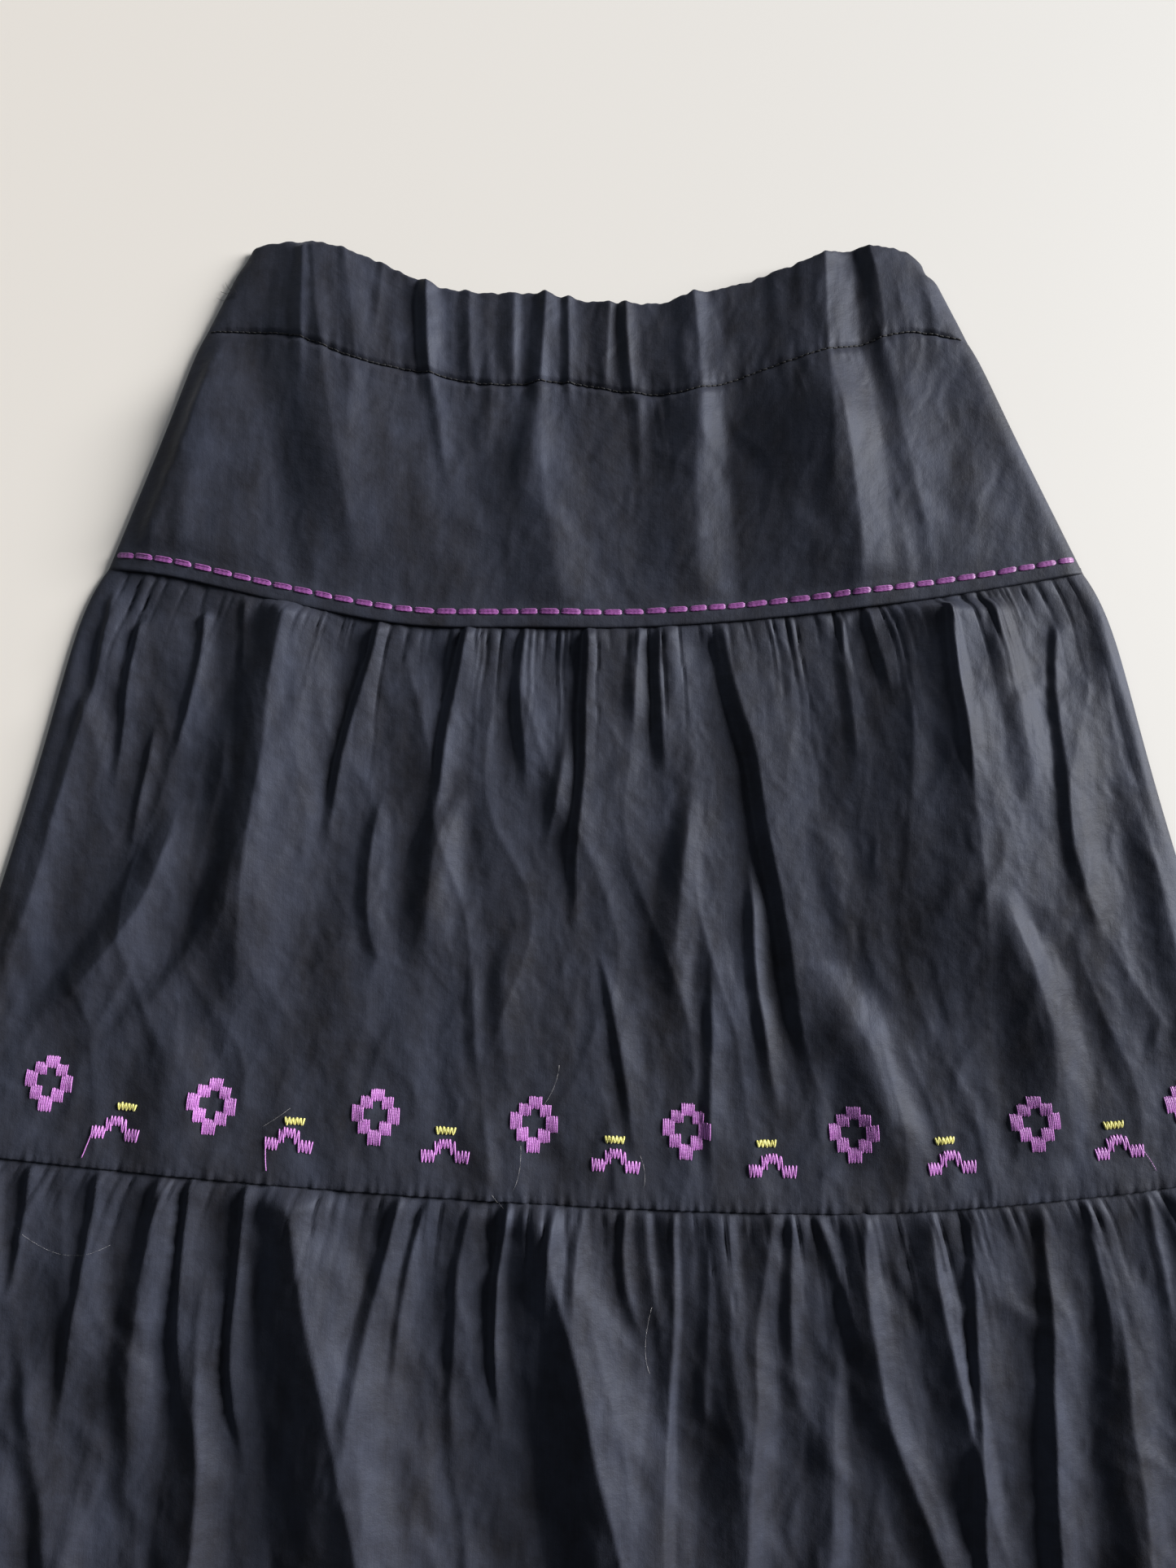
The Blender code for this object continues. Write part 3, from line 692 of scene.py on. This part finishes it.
bottom_front = front_sheet(
    "bottom_tier_front", BOTTOM_TIER, columns=600, rows=150, relief=bottom_relief,
    tuck=TUCK, roll_foot=(0.9, 12),
)

# Topstitching
# A line of navy machine stitches closes the casing, and another holds the hem. Each stitch is a
# short piece of twisted thread that dips into the cloth at both ends.

ABOVE_ALL = 0.2
surface_trees = {}


def surface(front, x, y):
    """Height of a front panel's cloth in millimetres at a point of the plan."""
    if front.name not in surface_trees:
        bpy.context.view_layer.update()
        graph = bpy.context.evaluated_depsgraph_get()
        surface_trees[front.name] = BVHTree.FromObject(front, graph)
    start = Vector((x * MM, y * MM, ABOVE_ALL))
    hit = surface_trees[front.name].ray_cast(start, Vector((0, 0, -1)))[0]
    return None if hit is None else hit.z / MM


def thread_object(name, lines, sides, flatness, material, nodes=()):
    """Threads as one mesh. Each line is its points and its half width at each of them."""
    points, faces, around = [], [], []
    angles = np.arange(sides) * 2 * np.pi / sides
    for line, half_widths in lines:
        line = np.array(line, float)
        half = np.array(half_widths, float)[:, None, None]
        run = np.gradient(line, axis=0)
        run /= np.linalg.norm(run, axis=1)[:, None] + 1e-9
        side = np.cross(run, (0, 0, 1))
        side /= np.linalg.norm(side, axis=1)[:, None] + 1e-9
        up = np.cross(side, run)
        ring = np.cos(angles)[None, :, None] * side[:, None, :]
        ring = ring + flatness * np.sin(angles)[None, :, None] * up[:, None, :]
        start = sum(len(p) for p in points)
        points.append((line[:, None, :] + half * ring).reshape(-1, 3))
        travel = np.concatenate([[0], np.cumsum(np.linalg.norm(np.diff(line, axis=0), axis=1))])
        for i in range(len(line) - 1):
            for j in range(sides):
                a, b = start + i * sides + j, start + i * sides + (j + 1) % sides
                faces.append((a, b, b + sides, a + sides))
                low, high = travel[i], travel[i + 1]
                left, right = j / sides, (j + 1) / sides
                around.append(((left, low), (right, low), (right, high), (left, high)))
        last = start + (len(line) - 1) * sides
        first_cap = range(start + sides - 1, start - 1, -1)
        last_cap = range(last, last + sides)
        for cap, at in ((first_cap, 0), (last_cap, travel[-1])):
            faces.append(tuple(cap))
            around.append(tuple((j / sides, at) for j in range(sides)))
    mesh = bpy.data.meshes.new(name)
    mesh.from_pydata(np.vstack(points) * MM, [], faces)
    mesh.shade_smooth()
    flat = [value for corners in around for corner in corners for value in corner]
    mesh.uv_layers.new(name="twist").data.foreach_set("uv", flat)
    made = bpy.data.objects.new(name, mesh)
    bpy.context.scene.collection.objects.link(made)
    dress(made, nodes, material)


def strands_group():
    """Height of the strands that twist round a thread, from its unwrapped surface."""
    group, given, result = add_group(
        "twisted_strands",
        [("Strands", "NodeSocketFloat", 2.0), ("Twist per mm", "NodeSocketFloat", 0.8)],
        [("Height", "NodeSocketFloat")],
    )
    link = group.links.new
    unwrapped = node(group, "ShaderNodeUVMap", uv_map="twist")
    split = node(group, "ShaderNodeSeparateXYZ")
    link(unwrapped.outputs["UV"], split.inputs["Vector"])
    turns = node(group, "ShaderNodeMath", operation="MULTIPLY")
    link(split.outputs["X"], turns.inputs[0])
    link(given.outputs["Strands"], turns.inputs[1])
    lengths = node(group, "ShaderNodeMath", operation="MULTIPLY")
    link(split.outputs["Y"], lengths.inputs[0])
    link(given.outputs["Twist per mm"], lengths.inputs[1])
    total = node(group, "ShaderNodeMath", operation="ADD")
    link(turns.outputs[0], total.inputs[0])
    link(lengths.outputs[0], total.inputs[1])
    wave = node(group, "ShaderNodeMath", operation="PINGPONG")
    wave.inputs[1].default_value = 0.5
    link(total.outputs[0], wave.inputs[0])
    link(wave.outputs[0], result.inputs["Height"])
    return group


twisted_strands = strands_group()


def thread_material(name, shade, light, roughness, sheen, strands, twist):
    """Twisted thread, a little uneven in colour along its length."""
    material = bpy.data.materials.new(name)
    material.use_nodes = True
    tree = material.node_tree
    link = tree.links.new
    shader = tree.nodes["Principled BSDF"]
    group = node(tree, "ShaderNodeGroup", node_tree=twisted_strands)
    group.inputs["Strands"].default_value = strands
    group.inputs["Twist per mm"].default_value = twist
    place = node(tree, "ShaderNodeTexCoord")
    patchy = node(tree, "ShaderNodeTexNoise", {"Scale": 900, "Detail": 2})
    link(place.outputs["Object"], patchy.inputs["Vector"])
    spread = node(tree, "ShaderNodeMapRange", {"From Min": 0.3, "From Max": 0.7})
    link(patchy.outputs["Fac"], spread.inputs["Value"])
    colour = node(tree, "ShaderNodeMix", data_type="RGBA")
    colour.inputs["A"].default_value = (*shade, 1)
    colour.inputs["B"].default_value = (*light, 1)
    link(spread.outputs["Result"], colour.inputs["Factor"])
    link(colour.outputs["Result"], shader.inputs["Base Color"])
    bump = node(tree, "ShaderNodeBump", {"Strength": 0.7, "Distance": 0.00015})
    link(group.outputs["Height"], bump.inputs["Height"])
    link(bump.outputs["Normal"], shader.inputs["Normal"])
    shader.inputs["Roughness"].default_value = roughness
    shader.inputs["Sheen Weight"].default_value = sheen
    return material


navy_thread = thread_material(
    "navy_thread", shade=(0.003, 0.003, 0.0045), light=(0.007, 0.007, 0.010),
    roughness=0.75, sheen=0.0, strands=2, twist=1.2,
)


SEAM_REACH = 0.985
SEAM_SAMPLES = 1200
STITCH_STRAY = 0.15
STRAND_RAGGEDNESS = 0.02
STITCH_SINK = 0.3


def stitches_along(seam, rise, front, length, gap, half_width, lift, shares, seed, strands=(0,)):
    """A row of stitches, at a distance above a seam and following the cloth.

    Each is one thread, or several side by side at the given offsets.
    """
    chance = random.Random(seed)
    u = np.linspace(-SEAM_REACH, SEAM_REACH, SEAM_SAMPLES)
    x, y = seam_points(seam, u)
    y = y + rise
    travel = np.concatenate([[0], np.cumsum(np.hypot(np.diff(x), np.diff(y)))])
    lines = []
    start = gap
    while start + length < travel[-1]:
        long = length * chance.uniform(0.9, 1.08)
        stray = chance.uniform(-STITCH_STRAY, STITCH_STRAY)
        for strand in strands:
            ragged = chance.uniform(-STRAND_RAGGEDNESS, STRAND_RAGGEDNESS) if strand else 0
            line = []
            for share in shares:
                at = start + long * (share + ragged)
                px = np.interp(at, travel, x)
                pinch = 0.4 + 0.6 * min(1, 2.5 * math.sin(math.pi * share))
                py = np.interp(at, travel, y) + stray * (1 - 2 * share) + strand * pinch
                cloth = surface(front, px, py)
                if cloth is None:
                    break
                arch = lift * min(1, 2.2 * math.sin(math.pi * share))
                line.append((px, py, cloth + arch - STITCH_SINK * half_width))
            if len(line) == len(shares):
                taper = [0.6 + 0.4 * min(1, 3 * math.sin(math.pi * share)) for share in shares]
                lines.append((line, [half_width * t for t in taper]))
        start += long + gap * chance.uniform(0.8, 1.2)
    return lines


FINE_SHARES = (0, 0.12, 0.35, 0.65, 0.88, 1)
casing_stitches = stitches_along(
    CASING_STITCH, rise=0.5, front=casing_front, length=2.5, gap=0.35,
    half_width=0.36, lift=0.3, shares=FINE_SHARES, seed=3,
)
thread_object(
    "casing_topstitching", casing_stitches, sides=6, flatness=0.8,
    material=navy_thread,
)
hem_stitches = stitches_along(
    HEM, rise=14, front=bottom_front, length=2.6, gap=0.5,
    half_width=0.24, lift=0.2, shares=FINE_SHARES, seed=4,
)
thread_object(
    "hem_topstitching", hem_stitches, sides=5, flatness=0.8,
    material=navy_thread,
)

# Running stitch
# A hand-like row of violet stitches in thick silky thread along the yoke's lower edge. Each is
# about 8.5 mm long, full in the middle and pinched where it enters the cloth.

violet_floss = thread_material(
    "violet_floss", shade=(0.18, 0.045, 0.20), light=(0.29, 0.085, 0.31),
    roughness=0.42, sheen=0.12, strands=2, twist=0.5,
)
LONG_SHARES = (0, 0.05, 0.12, 0.3, 0.5, 0.7, 0.88, 0.95, 1)
FLOSS_STRANDS = (-0.93, -0.32, 0.31, 0.92)
running_lines = stitches_along(
    YOKE_SEAM, rise=RUNNING_STITCH_RISE, front=yoke_front, length=8.6, gap=1.0,
    half_width=0.45, lift=0.45, shares=LONG_SHARES, seed=5, strands=FLOSS_STRANDS,
)
thread_object(
    "running_stitch", running_lines, sides=8, flatness=0.8,
    material=violet_floss,
)

# Embroidery
# A row of motifs over the tier's lower seam, worked in blocks of upright strokes that lean to and
# fro: stepped violet rings for flowers, and between them chevrons, each under a yellow bar.

violet_thread = thread_material(
    "violet_thread", shade=(0.43, 0.13, 0.49), light=(0.62, 0.27, 0.69),
    roughness=0.4, sheen=0.3, strands=2, twist=0.9,
)
Block = namedtuple("Block", "left top right foot")
FLOWER_BLOCKS = (
    Block(3, 0, 5.2, 1.75), Block(1.35, 1.05, 3.35, 2.8), Block(4.9, 1.1, 6.8, 2.85),
    Block(0, 2.35, 1.95, 4.75), Block(6, 2.6, 8, 5), Block(1.2, 4.4, 3.15, 6.4),
    Block(4.75, 4.6, 6.75, 6.55), Block(2.9, 5.8, 5.15, 8),
)
CHEVRON_BLOCKS = (
    Block(0, 1.9, 2.25, 4), Block(2.1, 0.4, 3.1, 2.7), Block(2.9, 0, 4.9, 1.7),
    Block(4.7, 0.4, 5.7, 2.7), Block(5.55, 1.9, 8, 4),
)
BAR_BLOCKS = (Block(0, 0, 3, 1),)
Motif = namedtuple(
    "Motif", "blocks columns rows square_x square_y spacing lean half_width places rises"
)
FLOWERS = Motif(
    FLOWER_BLOCKS, columns=8, rows=8, square_x=2.58, square_y=2.95,
    spacing=0.58, lean=0.16, half_width=0.31,
    places=(-237, -165, -94, -25.5, 40.5, 112.5, 191, 259),
    rises=(32.5, 29.8, 31, 32, 32.2, 32.2, 32.2, 32.2),
)
CHEVRONS = Motif(
    CHEVRON_BLOCKS, columns=8, rows=4, square_x=2.58, square_y=2.45,
    spacing=0.76, lean=0.42, half_width=0.4,
    places=(-271, -206, -131, -63.5, 10, 77.5, 154.5, 227),
    rises=(18.9, 16.8, 18.7, 18.9, 18.9, 18.9, 18.9, 18.9),
)
BARS = Motif(
    BAR_BLOCKS, columns=3, rows=1, square_x=2.75, square_y=3.0,
    spacing=0.8, lean=0.45, half_width=0.5,
    places=(-267, -202, -129, -63.5, 9.5, 75, 152, 225.5),
    rises=(28.1, 26.2, 26.5, 27.3, 27.6, 28.1, 28.1, 28.1),
)


def place_on_seam(seam, x, rise):
    """The y of a point over a seam, and the angle at which the seam runs there."""
    middle = (seam.left_x + seam.right_x) / 2
    half = (seam.right_x - seam.left_x) / 2
    step = 2
    u = np.array([(x - middle) / half, (x + step - middle) / half])
    y = seam_points(seam, u)[1]
    return float(y[0]) + rise, math.atan2(float(y[1] - y[0]), step)


STROKE_SHARES = (0, 0.06, 0.25, 0.5, 0.75, 0.94, 1)
STROKE_RISE = 0.05
STROKE_ARCH = 0.4
STROKE_STRAY = 0.06
END_STRAY = 0.25


def motif_lines(motif, number, chance):
    """The strokes of one motif, block by block, each leaning a little to meet the next."""
    centre_x = motif.places[number]
    centre_y, angle = place_on_seam(TIER_SEAM, centre_x, motif.rises[number])
    angle += chance.uniform(-0.03, 0.03)
    lines = []
    for block in motif.blocks:
        left = (block.left - motif.columns / 2) * motif.square_x
        right = (block.right - motif.columns / 2) * motif.square_x
        top = (motif.rows / 2 - block.top) * motif.square_y
        foot = (motif.rows / 2 - block.foot) * motif.square_y
        strokes = max(3, round((right - left) / motif.spacing))
        for i in range(strokes):
            stray = chance.uniform(-STROKE_STRAY, STROKE_STRAY)
            middle = mix(left, right, (i + 0.5) / strokes) + stray
            lean = motif.lean * motif.spacing * (1 if i % 2 else -1)
            high = top + chance.uniform(-END_STRAY, END_STRAY)
            low = foot + chance.uniform(-END_STRAY, END_STRAY)
            line, widths = [], []
            for share in STROKE_SHARES:
                x, y = middle + lean * (2 * share - 1), mix(low, high, share)
                px = centre_x + x * math.cos(angle) - y * math.sin(angle)
                py = centre_y + x * math.sin(angle) + y * math.cos(angle)
                arch = math.sin(math.pi * share)
                cloth = surface(middle_front, px, py)
                line.append((px, py, cloth + STROKE_RISE + STROKE_ARCH * arch))
                widths.append(motif.half_width * (0.65 + 0.35 * min(1, 3 * arch)))
            lines.append((line, widths))
    return lines


chance = random.Random(9)
for kind, motif in (("flower", FLOWERS), ("chevron", CHEVRONS)):
    for number in range(len(motif.places)):
        solid = f"{kind}_{number + 1}"
        thread_object(
            f"{solid}_thread", motif_lines(motif, number, chance), sides=6, flatness=0.85,
            material=violet_thread, nodes=[solid],
        )

yellow_thread = thread_material(
    "yellow_thread", shade=(0.62, 0.57, 0.12), light=(0.86, 0.82, 0.30),
    roughness=0.4, sheen=0.3, strands=2, twist=0.9,
)
bar_lines = []
for number in range(len(BARS.places)):
    bar_lines += motif_lines(BARS, number, chance)
thread_object(
    "yellow_bars", bar_lines, sides=6, flatness=0.85,
    material=yellow_thread,
)

# Loose ends
# Violet ends that were never trimmed hang from some chevrons, the casing's thread is frayed where
# it ends at the left, and a few pale fibres cling to the cloth, curled as they fell.

Fibre = namedtuple("Fibre", "start_x start_y bend_x bend_y end_x end_y half_width")
VIOLET_ENDS = (
    Fibre(-216, -40, -218, -46, -219.5, -50.5, 0.22),
    Fibre(-141, -45, -141, -50, -140, -56, 0.2),
    Fibre(236.5, -47, 240, -51, 242, -56, 0.1),
)
FRAYED_END = (
    Fibre(-169, 346, -173, 350, -179, 352, 0.08),
    Fibre(-170, 347, -174, 348, -177, 345, 0.07),
    Fibre(-169.5, 348, -173, 354, -173, 358, 0.07),
    Fibre(-170, 346, -176, 346, -181, 349, 0.06),
    Fibre(-170, 349, -176, 353, -177, 357, 0.07),
)
PALE_FIBRES = (
    Fibre(-14.5, -12, -15.5, -22, -22, -30, 0.035),
    Fibre(-31, -46, -30.5, -58, -34, -64, 0.035),
    Fibre(-246, -80, -228, -98, -206, -87, 0.022),
    Fibre(-43, -66, -41, -69, -38, -72, 0.035),
    Fibre(24, -139, 20, -130, 25, -112, 0.035),
    Fibre(-143, -38, -136, -34, -131, -30, 0.035),
    Fibre(20.5, -50, 23.5, -57, 22, -63, 0.035),
)
FIBRE_STEPS = 12
FIBRE_LIFT = 0.25
FIBRE_CURL = 0.2
CASING_Y = 300
BARE_TABLE = 0.3


def fibre_lines(fibres, chance):
    """Each fibre as a bend through three points, lying on whatever is under it."""
    lines = []
    for f in fibres:
        line = []
        for i in range(FIBRE_STEPS + 1):
            t = i / FIBRE_STEPS
            x = f.start_x * (1 - t) ** 2 + f.bend_x * 2 * t * (1 - t) + f.end_x * t * t
            y = f.start_y * (1 - t) ** 2 + f.bend_y * 2 * t * (1 - t) + f.end_y * t * t
            front = middle_front if surface(middle_front, x, y) else bottom_front
            front = casing_front if y > CASING_Y else front
            cloth = surface(front, x, y) or BARE_TABLE
            lift = FIBRE_LIFT + FIBRE_CURL * chance.random()
            line.append((x, y, cloth + f.half_width + lift))
        lines.append((line, [f.half_width] * len(line)))
    return lines


thread_object(
    "loose_violet_ends", fibre_lines(VIOLET_ENDS, chance), sides=6, flatness=1,
    material=violet_thread,
)
thread_object(
    "frayed_end", fibre_lines(FRAYED_END, chance), sides=5, flatness=1,
    material=navy_thread,
)
pale_thread = thread_material(
    "pale_fibre", shade=(0.42, 0.40, 0.40), light=(0.6, 0.58, 0.6),
    roughness=0.6, sheen=0.2, strands=1, twist=0.2,
)
thread_object(
    "pale_fibres", fibre_lines(PALE_FIBRES, chance), sides=5, flatness=1,
    material=pale_thread,
)

# Table, light and camera
# The skirt lies on a pale painted table under a large soft window to its right, and is seen from
# half a metre above, from a little towards the hem.

bpy.ops.mesh.primitive_plane_add(size=30, location=(0, 0, -0.0002))
table = bpy.context.object
table.name = "table"
paint = bpy.data.materials.new("table_paint")
paint.use_nodes = True
tree = paint.node_tree
shader = tree.nodes["Principled BSDF"]
place = node(tree, "ShaderNodeTexCoord")
split = node(tree, "ShaderNodeSeparateXYZ")
tree.links.new(place.outputs["Object"], split.inputs["Vector"])
# Painted shade: the table's colour turns warmer and a little darker towards the left, away from
# the window.
side = node(tree, "ShaderNodeMapRange", {"From Min": -0.45, "From Max": 0.3})
tree.links.new(split.outputs["X"], side.inputs["Value"])
painted_shade_tint = node(tree, "ShaderNodeMix", data_type="RGBA")
painted_shade_tint.inputs["A"].default_value = (0.80, 0.755, 0.70, 1)
painted_shade_tint.inputs["B"].default_value = (0.80, 0.79, 0.77, 1)
tree.links.new(side.outputs["Result"], painted_shade_tint.inputs["Factor"])
tree.links.new(painted_shade_tint.outputs["Result"], shader.inputs["Base Color"])
shader.inputs["Roughness"].default_value = 0.55
table.data.materials.append(paint)


def soft_light(name, place, size, power, colour):
    light = bpy.data.lights.new(name, "AREA")
    light.shape = "RECTANGLE"
    light.size, light.size_y = size
    light.energy = power
    light.color = colour
    made = bpy.data.objects.new(name, light)
    made.location = place
    made.rotation_euler = (-Vector(place)).to_track_quat("-Z", "Y").to_euler()
    bpy.context.scene.collection.objects.link(made)


soft_light(
    "window", place=(14.0, 4.6, 5.4), size=(6.8, 6.8), power=6600, colour=(1, 0.985, 0.965)
)
soft_light(
    "far_wall", place=(-2.2, 1.4, 1.9), size=(1.6, 1.6), power=12, colour=(0.85, 0.93, 1)
)
world = bpy.data.worlds.new("room")
world.use_nodes = True
world.node_tree.nodes["Background"].inputs["Color"].default_value = (0.92, 0.95, 1, 1)
world.node_tree.nodes["Background"].inputs["Strength"].default_value = 0.06
bpy.context.scene.world = world

camera = bpy.data.cameras.new("camera")
camera.lens = 27.04
camera.sensor_width = 36
camera_object = bpy.data.objects.new("camera", camera)
camera_object.location = (-0.002, 0.038, 0.530)
camera_object.rotation_euler = (math.radians(8), 0, 0)
bpy.context.scene.collection.objects.link(camera_object)
bpy.context.scene.camera = camera_object
bpy.context.scene.view_settings.view_transform = "Standard"
